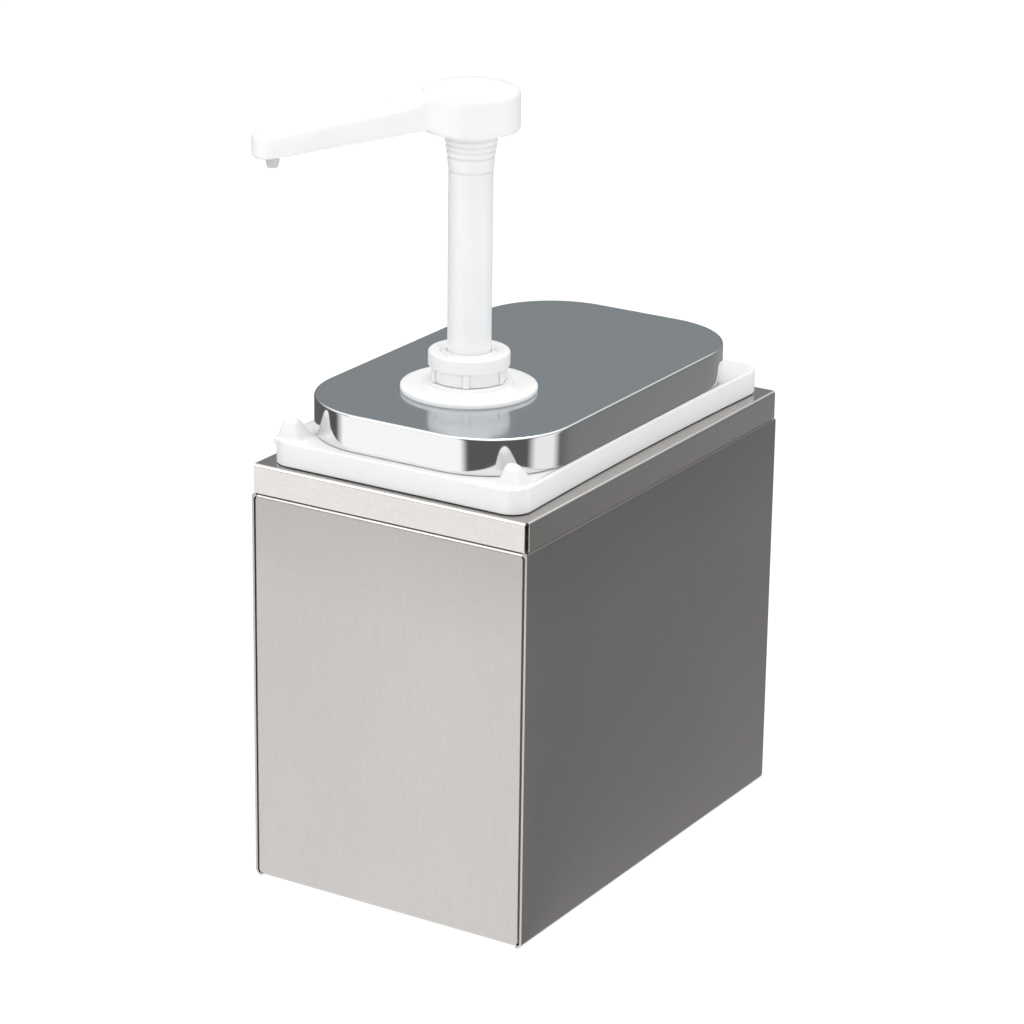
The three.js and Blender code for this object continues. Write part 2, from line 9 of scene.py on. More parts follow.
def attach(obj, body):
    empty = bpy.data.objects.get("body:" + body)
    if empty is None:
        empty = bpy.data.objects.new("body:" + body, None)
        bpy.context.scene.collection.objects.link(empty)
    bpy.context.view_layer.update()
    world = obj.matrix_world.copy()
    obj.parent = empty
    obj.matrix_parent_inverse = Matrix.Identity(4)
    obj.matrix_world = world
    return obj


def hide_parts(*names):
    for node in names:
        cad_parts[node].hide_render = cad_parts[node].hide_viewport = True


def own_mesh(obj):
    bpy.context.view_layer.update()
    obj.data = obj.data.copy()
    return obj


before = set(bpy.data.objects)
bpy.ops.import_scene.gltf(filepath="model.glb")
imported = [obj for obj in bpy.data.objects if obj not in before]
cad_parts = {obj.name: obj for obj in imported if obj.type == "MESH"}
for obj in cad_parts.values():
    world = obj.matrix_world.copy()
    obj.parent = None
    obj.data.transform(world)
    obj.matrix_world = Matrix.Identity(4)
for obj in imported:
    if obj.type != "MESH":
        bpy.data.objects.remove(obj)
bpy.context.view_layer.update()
scene = bpy.context.scene
scene.view_settings.view_transform = "Standard"
scene.view_settings.look = "None"

# ---------------------------------------------------------------- sizes
# As in the CAD source, except that the panels' upright bends are tighter and their seams closer.
GAP = 0.3
SHEET = 1.0
SIDE_STEP, END_STEP = SHEET + GAP, 2.2
BOX_X, BOX_Y, BOX_Z = 140.0, 220.0, 195.0
SKIRT_BOTTOM = BOX_Z - 13.0
SHOULDER = SKIRT_BOTTOM - 0.4
FRAME_BEND, PANEL_BEND, FLOOR_BEND = 1.5, 1.3, 3.0
SEAM = 0.1
WALL_TOP = BOX_Z - FRAME_BEND - GAP
LID_X, LID_Y, LID_R, LID_TOP, LID_BOTTOM, LID_SHEET = 122.6, 204.5, 40.0, 223.1, 206.8, 0.8
NECK_X, NECK_Y, NECK_R = LID_X - 3.2, LID_Y - 3.2, LID_R - 1.6
RIM_X, RIM_Y, RIM_R, RIM_BOW = 127.6, 212.6, 9.5, 1.8
RIM_BOTTOM, RIM_TOP = BOX_Z + GAP, LID_BOTTOM - GAP
JAR_BOTTOM, JAR_WALL, NECK_TOP = 8.0, 2.5, 219.5
PUMP_X, PUMP_Y = -2.1, -42.0
FLANGE_BOTTOM = LID_TOP + 1.0
BOSS_TOP = 228.0
CYLINDER_TOP = 236.7
THREAD_R, LID_HOLE_R = 14.5, 15.2
NUT_BOTTOM, NUT_STEP, NUT_TOP = 228.3, 234.4, 241.0
PIN_ANGLE, PIN_CIRCLE = 32, 10.9
NECK_LOW_R, NECK_HIGH_R, NECK_Z0, NECK_Z1 = 9.5, 11.9, 321.0, 338.5
CAP_R, CAP_BOTTOM, CAP_SHOULDER, CAP_TOP = 21.0, 338.8, 356.3, 360.3
ARM_ANGLE, ARM_REACH, ARM_HALF, ARM_FLARE = 45.0, 85.6, 9.0, 8.5


# ---------------------------------------------------------------- geometry helpers
def arc(cx, cy, radius, start, end, steps):
    """Points on an arc, from start to end in degrees."""
    angles = np.radians(np.linspace(start, end, steps + 1))
    return [(cx + radius * math.cos(a), cy + radius * math.sin(a)) for a in angles]


def softened(points, steps=4):
    """An open line through (u, v, radius) points, each corner rounded to its radius."""
    line = []
    for k, (u, v, r) in enumerate(points):
        if k in (0, len(points) - 1) or r <= 0:
            line.append((u, v))
            continue
        corner = Vector((u, v))
        before = (Vector(points[k - 1][:2]) - corner)
        after = (Vector(points[k + 1][:2]) - corner)
        turn = before.angle(after)
        reach = min(r / math.tan(turn / 2), 0.49 * before.length, 0.49 * after.length)
        a, b = corner + before.normalized() * reach, corner + after.normalized() * reach
        for t in np.linspace(0, 1, steps + 1):
            p = a.lerp(corner, t).lerp(corner.lerp(b, t), t)
            line.append((p.x, p.y))
    return line


def revolve(profile, steps=96, at=(PUMP_X, PUMP_Y)):
    """A closed line of (radius, height) points turned about an upright axis."""
    verts, faces, rings = [], [], []
    for r, z in profile:
        if r < 1e-6:
            rings.append([len(verts)])
            verts.append((at[0], at[1], z))
            continue
        rings.append(list(range(len(verts), len(verts) + steps)))
        for k in range(steps):
            a = 2 * math.pi * k / steps
            verts.append((at[0] + r * math.cos(a), at[1] + r * math.sin(a), z))
    joins = list(zip(rings, rings[1:]))
    if len(rings[0]) > 1 and len(rings[-1]) > 1:
        joins.append((rings[-1], rings[0]))
    for low, high in joins:
        for k in range(steps):
            n = (k + 1) % steps
            corners = [low[k % len(low)], low[n % len(low)], high[n % len(high)], high[k % len(high)]]
            corners = list(dict.fromkeys(corners))
            if len(corners) > 2:
                faces.append(corners)
    return verts, faces


def rounded(half_x, half_y, radius, z, bow=0.0, at=(0.0, 0.0), corner=14, side=14):
    """A ring of points on a rounded rectangle, its long sides bowed inwards."""
    x, y, r = half_x, half_y, radius
    ring = []
    centres = ((x - r, y - r, 0), (-x + r, y - r, 90), (-x + r, -y + r, 180), (x - r, -y + r, 270))
    for cx, cy, start in centres:
        ring += arc(cx, cy, r, start, start + 90, corner)
        px, py = ring[-1]
        nx, ny = {0: (-x + r, y), 90: (-x, -y + r), 180: (x - r, -y), 270: (x, y - r)}[start]
        for k in range(1, side):
            t = k / side
            inwards = 4 * bow * t * (1 - t) * (1 if start == 90 else -1 if start == 270 else 0)
            ring.append((px + (nx - px) * t + inwards, py + (ny - py) * t))
    return [(at[0] + u, at[1] + v, z) for u, v in ring]


def circle(radius, z, count, at):
    """A ring of as many points as a rounded() ring has, starting at the same corner."""
    angles = np.linspace(0, 2 * math.pi, count, endpoint=False)
    return [(at[0] + radius * math.cos(a), at[1] + radius * math.sin(a), z) for a in angles]


def stack(rings, closed=False, capped=True):
    """A skin over rings of equal length. Closed joins the last ring to the first."""
    n = len(rings[0])
    verts = [p for ring in rings for p in ring]
    faces = []
    last = len(rings) if closed else len(rings) - 1
    for i in range(last):
        a, b = i * n, ((i + 1) % len(rings)) * n
        faces += [[a + k, a + (k + 1) % n, b + (k + 1) % n, b + k] for k in range(n)]
    if capped and not closed:
        faces += [list(range(n))[::-1], list(range(len(verts) - n, len(verts)))]
    return verts, faces


def prism(outline, low, high, axis):
    """An outline pulled along X, Y or Z. The outline is (y, z), (x, z) or (x, y)."""
    place = {
        "x": lambda u, v, w: (w, u, v),
        "y": lambda u, v, w: (u, w, v),
        "z": lambda u, v, w: (u, v, w),
    }[axis]
    return stack([[place(u, v, w) for u, v in outline] for w in (low, high)])


def block(low, high):
    (x0, y0, z0), (x1, y1, z1) = low, high
    return prism([(x0, y0), (x1, y0), (x1, y1), (x0, y1)], z0, z1, "z")


def mirrored(shape, axis):
    verts, faces = shape
    flip = [-1 if axis == k else 1 for k in range(3)]
    return [tuple(c * f for c, f in zip(v, flip)) for v in verts], [f[::-1] for f in faces]


def merged(*shapes):
    verts, faces = [], []
    for v, f in shapes:
        faces += [[i + len(verts) for i in face] for face in f]
        verts += list(v)
    return verts, faces


def mesh_object(name, shape):
    verts, faces = shape
    mesh = bpy.data.meshes.new(name)
    mesh.from_pydata([tuple(0.001 * c for c in v) for v in verts], [], faces)
    bm = bmesh.new()
    bm.from_mesh(mesh)
    bmesh.ops.remove_doubles(bm, verts=bm.verts, dist=1e-7)
    bmesh.ops.recalc_face_normals(bm, faces=bm.faces)
    bm.to_mesh(mesh)
    bm.free()
    obj = bpy.data.objects.new(name, mesh)
    scene.collection.objects.link(obj)
    return obj


def settle(obj):
    """Bakes the modifiers into the mesh."""
    graph = bpy.context.evaluated_depsgraph_get()
    mesh = bpy.data.meshes.new_from_object(obj.evaluated_get(graph))
    obj.modifiers.clear()
    obj.data = mesh
    return obj


def combine(obj, shape, operation):
    """Adds or cuts a shape."""
    other = mesh_object("tool", shape)
    mod = obj.modifiers.new("combine", "BOOLEAN")
    mod.operation, mod.solver, mod.object = operation, "EXACT", other
    settle(obj)
    bpy.data.objects.remove(other)
    return obj


def bevelled(obj, width, segments=3, angle=35):
    mod = obj.modifiers.new("bevel", "BEVEL")
    mod.width, mod.segments, mod.limit_method = 0.001 * width, segments, "ANGLE"
    mod.angle_limit = math.radians(angle)
    return settle(obj)


def piece(obj, body, slot, material, *nodes, sharp=40):
    """Finishes a piece: smooth shading, its material, the body it rides on and the nodes it stands for."""
    obj.data.shade_smooth()
    obj.data.set_sharp_from_angle(angle=math.radians(sharp))
    obj.modifiers.new("normals", "WEIGHTED_NORMAL").keep_sharp = True
    obj.data.materials.clear()
    obj.data.materials.append(material)
    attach(obj, body)
    if nodes:
        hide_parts(*nodes)
    return obj


# ---------------------------------------------------------------- materials
class Nodes:
    """Short names for building a node tree."""

    def __init__(self, name):
        self.material = bpy.data.materials.new(name)
        self.material.use_nodes = True
        self.tree = self.material.node_tree
        self.bsdf = self.tree.nodes["Principled BSDF"]

    def add(self, kind, **values):
        node = self.tree.nodes.new(kind)
        for key, value in values.items():
            if key in node.inputs:
                node.inputs[key].default_value = value
            else:
                setattr(node, key, value)
        return node

    def link(self, source, target):
        self.tree.links.new(source, target)

    def where(self, scale=(1, 1, 1)):
        """The place on the object in metres, stretched."""
        coords = self.add("ShaderNodeTexCoord")
        mapping = self.add("ShaderNodeMapping")
        mapping.inputs["Scale"].default_value = scale
        self.link(coords.outputs["Object"], mapping.inputs["Vector"])
        return mapping.outputs["Vector"]

    def noise(self, vector, scale, detail=3.0, roughness=0.5, distortion=0.0):
        values = {"Scale": scale, "Detail": detail, "Roughness": roughness, "Distortion": distortion}
        node = self.add("ShaderNodeTexNoise", **values)
        self.link(vector, node.inputs["Vector"])
        return node.outputs["Fac"]

    def ranged(self, value, low, high, to_low, to_high, smooth=False):
        node = self.add("ShaderNodeMapRange", clamp=True)
        node.interpolation_type = "SMOOTHSTEP" if smooth else "LINEAR"
        for key, v in zip(("From Min", "From Max", "To Min", "To Max"), (low, high, to_low, to_high)):
            node.inputs[key].default_value = v
        self.link(value, node.inputs["Value"])
        return node.outputs["Result"]

    def math(self, operation, a, b):
        node = self.add("ShaderNodeMath", operation=operation)
        for socket, v in zip(node.inputs, (a, b)):
            if isinstance(v, (int, float)):
                socket.default_value = v
            else:
                self.link(v, socket)
        return node.outputs["Value"]

    def tint(self, factor, dark, light):
        node = self.add("ShaderNodeMix", data_type="RGBA")
        self.link(factor, node.inputs["Factor"])
        for socket, colour in ((node.inputs[6], dark), (node.inputs[7], light)):
            if isinstance(colour, tuple):
                socket.default_value = (*colour, 1.0)
            else:
                self.link(colour, socket)
        return node.outputs[2]

    def bump(self, height, strength, distance, normal=None):
        node = self.add("ShaderNodeBump", Strength=strength, Distance=distance)
        self.link(height, node.inputs["Height"])
        if normal:
            self.link(normal, node.inputs["Normal"])
        return node.outputs["Normal"]

    def axes(self, output="Object"):
        coords = self.add("ShaderNodeTexCoord")
        split = self.add("ShaderNodeSeparateXYZ")
        self.link(coords.outputs[output], split.inputs["Vector"])
        return split.outputs


def brushed_steel(
    name, grain, light=(0.685, 0.665, 0.65), rough=(0.28, 0.34), contrast=0.05, relief=0.05, ledge=1.0, under_skirt_shade=0.0
):
    """Stainless sheet: hairline grain, fine speckle and slow cloudiness.

    Upward faces are painted `ledge` times as bright, a painted shade on the frame's ledge, and walls get a
    painted shadow under the frame's skirt, darkened by the given amount up to its folded edge.
    """
    n = Nodes(name)
    n.bsdf.inputs["Metallic"].default_value = 1.0
    hair = n.noise(n.where(grain), 1.0, 4.0, 0.62)
    cloud = n.noise(n.where(), 9.0, 4.0, 0.55, 0.4)
    speck = n.noise(n.where(), 650.0, 3.0, 0.6)
    smear = n.noise(n.where(tuple(0.05 * g + 6 for g in grain)), 1.0, 3.0, 0.6)
    streak = n.ranged(hair, 0.32, 0.68, 0.0, 1.0)
    base = n.tint(streak, tuple((1 - contrast) * c for c in light), light)
    blotch = n.math("ADD", n.math("MULTIPLY", cloud, 0.5), n.math("MULTIPLY", speck, 0.5))
    worn = n.tint(n.ranged(blotch, 0.38, 0.62, 0.0, 1.0), tuple(0.84 * c for c in light), light)
    mix = n.add("ShaderNodeMix", data_type="RGBA", blend_type="MULTIPLY")
    mix.inputs["Factor"].default_value = 0.5
    n.link(base, mix.inputs[6])
    n.link(worn, mix.inputs[7])
    # Painted shade: up-facing faces are darkened in the base colour, as on the frame's ledge beside the jar's
    # rim.
    upward = n.ranged(n.axes("Normal")["Z"], 0.9, 0.99, 0.0, 1.0 - ledge)
    # Painted shadow: walls are darkened in the base colour towards the frame's skirt above them.
    below_frame = n.ranged(n.axes()["Z"], 0.135, 0.181, 0.0, under_skirt_shade)
    painted_shade = n.add("ShaderNodeMix", data_type="RGBA", blend_type="MULTIPLY")
    n.link(n.math("MAXIMUM", upward, below_frame), painted_shade.inputs["Factor"])
    n.link(mix.outputs[2], painted_shade.inputs[6])
    painted_shade.inputs[7].default_value = (0.0, 0.0, 0.0, 1.0)
    n.link(painted_shade.outputs[2], n.bsdf.inputs["Base Color"])
    uneven = n.math("ADD", n.math("MULTIPLY", streak, 0.5), n.math("MULTIPLY", smear, 0.5))
    n.link(n.ranged(uneven, 0.2, 0.8, *rough), n.bsdf.inputs["Roughness"])
    n.link(n.bump(hair, relief, 0.00004), n.bsdf.inputs["Normal"])
    return n.material


def lid_steel(name):
    """Satin on the flat top, polished on the drawn edge and the skirt. The flat top's colour is painted darker
    and bluer than the skirt's: painted shade.
    """
    n = Nodes(name)
    n.bsdf.inputs["Metallic"].default_value = 1.0
    facing = n.ranged(n.axes("Normal")["Z"], 0.86, 0.99, 0.0, 1.0, smooth=True)
    fine = n.noise(n.where((1, 1, 1)), 900.0, 3.0, 0.6)
    cloud = n.noise(n.where(), 14.0, 4.0, 0.6, 0.6)
    # Painted shade: the upward-facing top is coloured darker and bluer than the skirt and edge of the same
    # steel.
    colour = n.tint(facing, (0.80, 0.80, 0.80), n.tint(fine, (0.56, 0.59, 0.61), (0.62, 0.65, 0.67)))
    n.link(colour, n.bsdf.inputs["Base Color"])
    satin = n.ranged(cloud, 0.3, 0.7, 0.13, 0.16)
    polish = n.ranged(cloud, 0.3, 0.7, 0.07, 0.11)
    blend = n.add("ShaderNodeMix", data_type="FLOAT")
    n.link(facing, blend.inputs["Factor"])
    n.link(polish, blend.inputs[2])
    n.link(satin, blend.inputs[3])
    n.link(blend.outputs[0], n.bsdf.inputs["Roughness"])
    ripple = n.noise(n.where((1, 1, 0.3)), 38.0, 2.0, 0.5)
    n.link(n.bump(fine, 0.05, 0.00003, n.bump(ripple, 0.05, 0.0003)), n.bsdf.inputs["Normal"])
    return n.material


def plastic(name, dark, light, rough, grain=700.0, soft=0.12):
    """Moulded plastic: a trace of mottling, fine spark texture and slow unevenness."""
    n = Nodes(name)
    n.bsdf.inputs["IOR"].default_value = 1.49
    n.bsdf.inputs["Subsurface Weight"].default_value = soft
    n.bsdf.inputs["Subsurface Radius"].default_value = (1.0, 0.9, 0.8)
    n.bsdf.inputs["Subsurface Scale"].default_value = 0.0025
    mottle = n.noise(n.where(), 60.0, 4.0, 0.55, 0.3)
    slow = n.noise(n.where((1, 1, 0.4)), 22.0, 2.0, 0.5)
    fine = n.noise(n.where(), grain, 2.0, 0.5)
    n.link(n.tint(n.ranged(mottle, 0.3, 0.7, 0.0, 1.0), dark, light), n.bsdf.inputs["Base Color"])
    n.link(n.ranged(slow, 0.3, 0.7, *rough), n.bsdf.inputs["Roughness"])
    n.link(n.bump(fine, 0.05, 0.0001, n.bump(slow, 0.10, 0.0008)), n.bsdf.inputs["Normal"])
    return n.material


# The upright panels carry a painted shadow just under the frame's skirt.
STEEL_UPRIGHT = brushed_steel("sheet_upright_grain", (1500, 1500, 26), under_skirt_shade=0.12)
# The frame's up-facing ledge is painted darker than its walls: painted shade.
STEEL_LENGTHWAYS = brushed_steel(
    "sheet_lengthways_grain", (70, 70, 1500), (0.82, 0.80, 0.785), (0.13, 0.19), relief=0.04, ledge=0.72
)
LID_STEEL = lid_steel("lid_steel")
JAR_WHITE = plastic("jar_white", (0.835, 0.845, 0.845), (0.865, 0.865, 0.865), (0.34, 0.44))
PUMP_WHITE = plastic("pump_white", (0.885, 0.885, 0.885), (0.915, 0.915, 0.915), (0.28, 0.36), soft=0.3)
# Darker natural plastic; on the nozzle tip part of its darkness is painted shade under the arm.
NATURAL = plastic("natural_plastic", (0.52, 0.52, 0.50), (0.60, 0.60, 0.58), (0.30, 0.42), soft=0.3)
RUBBER = plastic("white_rubber", (0.72, 0.72, 0.70), (0.80, 0.80, 0.78), (0.55, 0.70), grain=1500.0, soft=0.0)
BALL_STEEL = brushed_steel("ball_steel", (400, 400, 400), (0.80, 0.80, 0.81), (0.08, 0.14))
WIRE_STEEL = brushed_steel("spring_wire", (200, 200, 1800), (0.60, 0.60, 0.61), (0.22, 0.34))


# ---------------------------------------------------------------- housing
def wall_outline(face, step, fold):
    """One wall edge on: bottom bend, flat wall, the step in behind the frame's skirt."""
    inner, r = face - SHEET, FLOOR_BEND
    toe = face - r - fold
    knee = SHOULDER - step
    return (
        ([(toe, 0)] if fold else [])
        + arc(face - r, r, r, -90, 0, 8)
        + arc(face - step, knee, step, 0, 82, 8)
        + [(face - step, SHOULDER + 0.2), (face - step, WALL_TOP), (inner - step, WALL_TOP)]
        + [(inner - step, SHOULDER - SHEET), (inner, knee - SHEET)]
        + arc(face - r, r, r - SHEET, 0, -90, 6)
        + ([(toe, SHEET)] if fold else [])
    )


half_y = BOX_Y / 2
side = prism(wall_outline(BOX_X / 2, SIDE_STEP, 0), -half_y + 0.2, half_y - 0.2, "y")
floor_reach = half_y - 6 - GAP
side_wrap = mesh_object("side_wrap_sheet", side)
combine(side_wrap, mirrored(side, 0), "UNION")
combine(side_wrap, block((-67.5, -floor_reach, 0), (67.5, floor_reach, SHEET)), "UNION")
for sign in (-1, 1):
    low, high = sorted((sign * (half_y - SIDE_STEP), sign * (half_y + 5)))
    combine(side_wrap, block((-80, low, SKIRT_BOTTOM), (80, high, BOX_Z)), "DIFFERENCE")
bevelled(side_wrap, 0.42)
piece(side_wrap, "housing", "housing_sheet", STEEL_UPRIGHT, "side_wrap")


def end_panel(name, node, sign):
    edge = BOX_X / 2 - SHEET - SEAM
    flat = edge - PANEL_BEND
    flange = (
        [(flat - 1, half_y)]
        + arc(flat, half_y - PANEL_BEND, PANEL_BEND, 90, 0, 8)
        + [(edge, half_y - 12), (edge - SHEET, half_y - 12)]
        + arc(flat, half_y - PANEL_BEND, PANEL_BEND - SHEET, 0, 90, 6)
        + [(flat - 1, half_y - SHEET)]
    )
    plate = prism(wall_outline(half_y, END_STEP, 3), -flat, flat, "x")
    bend = prism(flange, 2.6, SHOULDER - END_STEP - SEAM, "z")
    shapes = [plate, bend, mirrored(bend, 0)]
    if sign < 0:
        shapes = [mirrored(s, 1) for s in shapes]
    obj = mesh_object(name, shapes[0])
    for shape in shapes[1:]:
        combine(obj, shape, "UNION")
    bevelled(obj, 0.25, 2)
    return piece(obj, "housing", "housing_sheet", STEEL_UPRIGHT, node)


end_panel("front_panel_sheet", "front_panel", -1)
end_panel("rear_panel_sheet", "rear_panel", 1)


def skirt_outline(face):
    return (
        [(face - FRAME_BEND - 1, BOX_Z)]
        + arc(face - FRAME_BEND, BOX_Z - FRAME_BEND, FRAME_BEND, 90, 0, 8)
        + [(face, SKIRT_BOTTOM), (face - SHEET, SKIRT_BOTTOM), (face - SHEET, BOX_Z - FRAME_BEND)]
        + [(face - FRAME_BEND - 1, BOX_Z - SHEET)]
    )


def flat_outline(ring):
    return [p[:2] for p in ring]


frame_opening = flat_outline(rounded(NECK_X / 2 + 1.3, NECK_Y / 2 + 1.3, NECK_R + 1.3, 0))
frame_plate = flat_outline(rounded(BOX_X / 2 - FRAME_BEND, half_y - FRAME_BEND, 0.5, 0, corner=3, side=2))
top_frame = mesh_object("top_frame_sheet", prism(frame_plate, BOX_Z - SHEET, BOX_Z, "z"))
right_skirt = prism(skirt_outline(BOX_X / 2), -half_y + 1.8, half_y - 1.8, "y")
rear_skirt = prism(skirt_outline(half_y), -BOX_X / 2 + 1.3, BOX_X / 2 - 1.3, "x")
for skirt in (right_skirt, mirrored(right_skirt, 0), rear_skirt, mirrored(rear_skirt, 1)):
    combine(top_frame, skirt, "UNION")
combine(top_frame, prism(frame_opening, BOX_Z - 5, BOX_Z + 5, "z"), "DIFFERENCE")
bevelled(top_frame, 0.22, 2)
piece(top_frame, "housing", "housing_sheet", STEEL_LENGTHWAYS, "top_frame")

# ---------------------------------------------------------------- jar
def jar_ring(x, y, r, z, bow=0.0):
    return rounded(x, y, max(r, 0.6), z, bow)


def jar_rings(path, x, y, r, bow):
    """Rings along a line of (offset from the outline, height) points."""
    return [jar_ring(x + d, y + d, r + d, z, bow) for d, z in path]


nx, ny = NECK_X / 2, NECK_Y / 2
rx, ry = RIM_X / 2, RIM_Y / 2
jar_floor, under_rim = JAR_BOTTOM + JAR_WALL, RIM_TOP - 2.7
inside = softened([
    (-30, jar_floor, 0), (-JAR_WALL, jar_floor, 6), (-JAR_WALL, NECK_TOP, 1.0), (0, NECK_TOP, 1.0),
    (0, RIM_TOP, 0.8), (1.2, RIM_TOP, 0),
], 5)
outside = softened([
    (-2.2, RIM_TOP, 0), (0, RIM_TOP, 4.6), (0, RIM_BOTTOM, 0.7), (-2.3, RIM_BOTTOM, 0.7),
    (-2.3, under_rim, 1.4), (-3.4, under_rim, 0),
], 6)
under = softened([(0.3, under_rim, 0), (0, under_rim, 0), (0, JAR_BOTTOM, 7), (-30, JAR_BOTTOM, 0)], 6)
rings = jar_rings(inside, nx, ny, NECK_R, 0)
rings += jar_rings(outside, rx, ry, RIM_R, RIM_BOW)
rings += jar_rings(under, nx, ny, NECK_R, 0)
jar_skin = stack(rings)


def ear():
    """A fin on the rim: steep in front, sloping to the rear, its foot flared into the rim."""
    rings = []
    heights = [(-2.5, 0.9), (0, 0.9), (0.25, 0.45), (0.7, 0.15), (1.2, 0.0), (3, 0), (5, 0), (7, 0)]
    for a in np.radians([0, 20, 40, 60, 75, 86]):
        heights.append((9.5 - 2.4 * (1 - math.sin(a)), -2.4 * (1 - math.cos(a))))
    for h, spread in heights:
        t = max(h, 0) / 9.5
        half = 5.75 + (2.9 - 5.75) * t + spread
        front = -104 + 2.2 * t - spread
        rear = -90.4 + (-97.2 + 90.4) * t + spread
        middle, depth = (front + rear) / 2, (rear - front) / 2
        r = min(2.6, 0.95 * half, 0.95 * depth)
        rings.append(rounded(half, depth, r, RIM_TOP + h, at=(56, middle), corner=6, side=3))
    return stack(rings)


container = mesh_object("jar_body", merged(jar_skin, ear(), mirrored(ear(), 0)))
piece(container, "jar", "jar_plastic", JAR_WHITE, "container", sharp=50)

# ---------------------------------------------------------------- lid
lx, ly = LID_X / 2, LID_Y / 2
count = len(rounded(lx, ly, LID_R, 0))
outer_line = softened([(0, LID_BOTTOM, 0), (0, LID_TOP, 1.3), (-9, LID_TOP, 0)], 8)
lid_under = LID_TOP - LID_SHEET
inner_line = softened([(-9, lid_under, 0), (-LID_SHEET, lid_under, 1.3), (-LID_SHEET, LID_BOTTOM, 0)], 5)
outer_line = [(-0.25, LID_BOTTOM), (0, LID_BOTTOM + 0.25)] + outer_line[1:]
inner_line = inner_line[:-1] + [(-LID_SHEET, LID_BOTTOM + 0.25), (-LID_SHEET + 0.25, LID_BOTTOM)]
lid_rings = jar_rings(outer_line, lx, ly, LID_R, 0)
lid_rings += [circle(LID_HOLE_R, z, count, (PUMP_X, PUMP_Y)) for z in (LID_TOP, lid_under)]
lid_rings += jar_rings(inner_line, lx, ly, LID_R, 0)
lid = mesh_object("lid_shell", stack(lid_rings, closed=True))
piece(lid, "lid_and_pump", "lid_steel", LID_STEEL, "lid", sharp=50)


# ---------------------------------------------------------------- pump
def turned(name, points, body, slot, material, *nodes, steps=96, rounding=4, extra=None, sharp=40):
    shape = revolve(softened(points, rounding), steps)
    obj = mesh_object(name, merged(shape, extra) if extra else shape)
    return piece(obj, body, slot, material, *nodes, sharp=sharp)


LID_BODY = "lid_and_pump"
turned("flange_gasket_ring", [
    (LID_HOLE_R, LID_TOP + 0.02, 0), (29.8, LID_TOP + 0.02, 0.1),
    (29.8, LID_TOP + 0.36, 0.1), (LID_HOLE_R, LID_TOP + 0.36, 0),
], LID_BODY, "white_rubber", RUBBER, "flange_gasket")

F = FLANGE_BOTTOM
turned("pump_body_moulding", [
    (11.6, 98.3, 0), (13.6, 98.3, 0.4), (13.6, 205, 0), (THREAD_R, 205.6, 0.2), (THREAD_R, F - 0.6, 0.4),
    (30, F - 0.6, 0.3),
    (30, F + 1.1, 0.55), (27.6, F + 1.75, 1.0), (20.4, F + 2.1, 1.4), (18.9, BOSS_TOP - 1.2, 0.5),
    (18.9, BOSS_TOP, 0.5), (THREAD_R, BOSS_TOP, 0),
    (THREAD_R, CYLINDER_TOP, 0.3), (11.6, CYLINDER_TOP, 0.3), (11.6, 100, 0),
], LID_BODY, "pump_plastic", PUMP_WHITE, "pump_body", steps=128)

nut_top = LID_TOP - LID_SHEET - GAP
corner_r = 38 / math.sqrt(3)
hexagon = [(PUMP_X + x, PUMP_Y + y) for x, y in arc(0, 0, corner_r, 0, 300, 5)]
clamp_nut = mesh_object("clamp_nut_hex", prism(hexagon, nut_top - 8, nut_top, "z"))
bore, cut_low, cut_high = THREAD_R + GAP, nut_top - 9, nut_top + 1
combine(clamp_nut, revolve([(0, cut_low), (bore, cut_low), (bore, cut_high), (0, cut_high)]), "DIFFERENCE")
bevelled(clamp_nut, 0.7, 3)
piece(clamp_nut, LID_BODY, "pump_plastic", PUMP_WHITE, "clamp_nut")


def nut_ribs():
    ribs = []
    for k in range(6):
        a = math.radians(-62 + 60 * k)
        rings = []
        for z in (NUT_BOTTOM, 234.6):
            ring = rounded(1.1, 1.3, 0.4, z, at=(16.5, 0), corner=4, side=2)
            rings.append([
                (PUMP_X + x * math.cos(a) - y * math.sin(a), PUMP_Y + x * math.sin(a) + y * math.cos(a), h)
                for x, y, h in ring
            ])
        ribs.append(stack(rings))
    return merged(*ribs)


turned("collar_nut_ring", [
    (14.8, NUT_BOTTOM, 0), (16.5, NUT_BOTTOM, 0.3), (16.5, NUT_STEP, 0.3), (17.9, NUT_STEP, 0.5),
    (17.9, NUT_TOP, 1.2), (12.5, NUT_TOP, 0.25), (12.5, 238.8, 0), (14.8, 238.8, 0), (14.8, 229, 0),
], LID_BODY, "pump_plastic", PUMP_WHITE, "collar_nut", steps=128, extra=nut_ribs())

bush = mesh_object("shaft_bush_guide", revolve(softened([
    (9.9, 218, 0), (11.3, 218, 0.3), (11.3, 237, 0), (14.2, 237, 0.2), (14.2, 238.5, 0.2), (12.42, 238.5, 0),
    (12.42, 241.1, 0.25), (9.8, 241.1, 0.5), (9.8, 219, 0),
]), 128))
for turn in (PIN_ANGLE, PIN_ANGLE + 180):
    a = math.radians(turn)
    at = (PUMP_X + PIN_CIRCLE * math.cos(a), PUMP_Y + PIN_CIRCLE * math.sin(a))
    combine(bush, revolve([(0, 239.9), (0.9, 239.9), (0.9, 242), (0, 242)], 24, at), "DIFFERENCE")
piece(bush, LID_BODY, "pump_plastic", PUMP_WHITE, "shaft_bush")

turned("foot_valve_moulding", [
    (2.6, 78, 0), (4.2, 78, 0.5), (4.2, 94, 0.4), (13.6, 94, 0.8), (13.6, 98, 0.3), (11.3, 98, 0),
    (11.3, 110, 0.3), (4.7, 110, 0), (4.7, 101.1, 0), (2.6, 99, 0), (2.6, 79, 0),
], LID_BODY, "pump_plastic", PUMP_WHITE, "foot_valve_body", steps=64)

